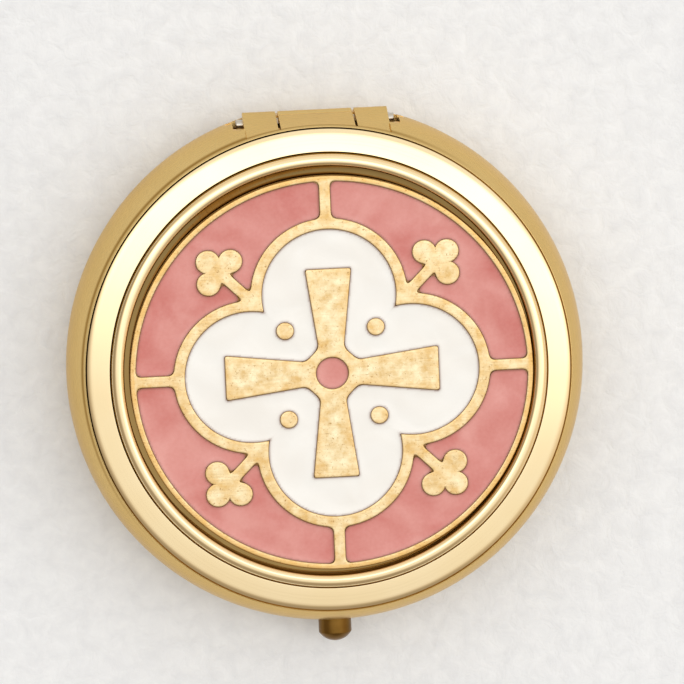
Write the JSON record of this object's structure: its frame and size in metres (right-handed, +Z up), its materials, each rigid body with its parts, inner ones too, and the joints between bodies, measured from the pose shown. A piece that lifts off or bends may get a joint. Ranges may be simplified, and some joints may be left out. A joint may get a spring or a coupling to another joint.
{
  "type": "pyx",
  "caption": "Round gilded case with a hinged lid, an enamelled medallion in the lid, a push-button catch and an inner cup for hosts.",
  "frame": {"origin": "middle of the flat bottom", "axes": "+Z up through the lid, +Y towards the hinge, -Y towards the push button, +X along the hinge pin"},
  "size_m": [0.05, 0.0522, 0.014],
  "materials": {
    "gilt_polish": "polished gilt brass",
    "gilt_satin": "satin gilt brass",
    "pin_steel": "drawn steel wire",
    "spring_bronze": "rolled spring bronze",
    "button_bronze": "dark turned bronze",
    "pink_enamel": "glossy enamel",
    "white_enamel": "glossy enamel",
    "adhesive": "clear cement"
  },
  "bodies": {
    "base": {"base_shell": "gilt_polish", "inner_cup": "gilt_polish", "base_rim_ring": "gilt_polish", "base_hinge_leaf": "gilt_polish", "hinge_pin": "pin_steel", "catch_spring": "spring_bronze"},
    "lid": {"lid_shell": "gilt_polish", "lid_rim_ring": "gilt_polish", "lid_hinge_leaf": "gilt_polish", "medallion_plate": "gilt_satin", "enamel_pink": "pink_enamel", "enamel_white": "white_enamel", "medallion_adhesive": "adhesive"},
    "button": {"push_button": "button_bronze"}
  },
  "joints": [
    {"name": "lid_hinge", "type": "hinge", "parent": "base", "child": "lid", "pos_m": [0, 0.0234, 0.00665], "axis": [-1, 0, 0], "range_deg": [0, 105]},
    {"name": "button_press", "type": "slide", "parent": "base", "child": "button", "axis": [0, 1, 0], "range_m": [0, 0.0009], "stiffness_N_per_m": 3500, "springref_m": -0.0003, "deforming": ["catch_spring"]}
  ]
}
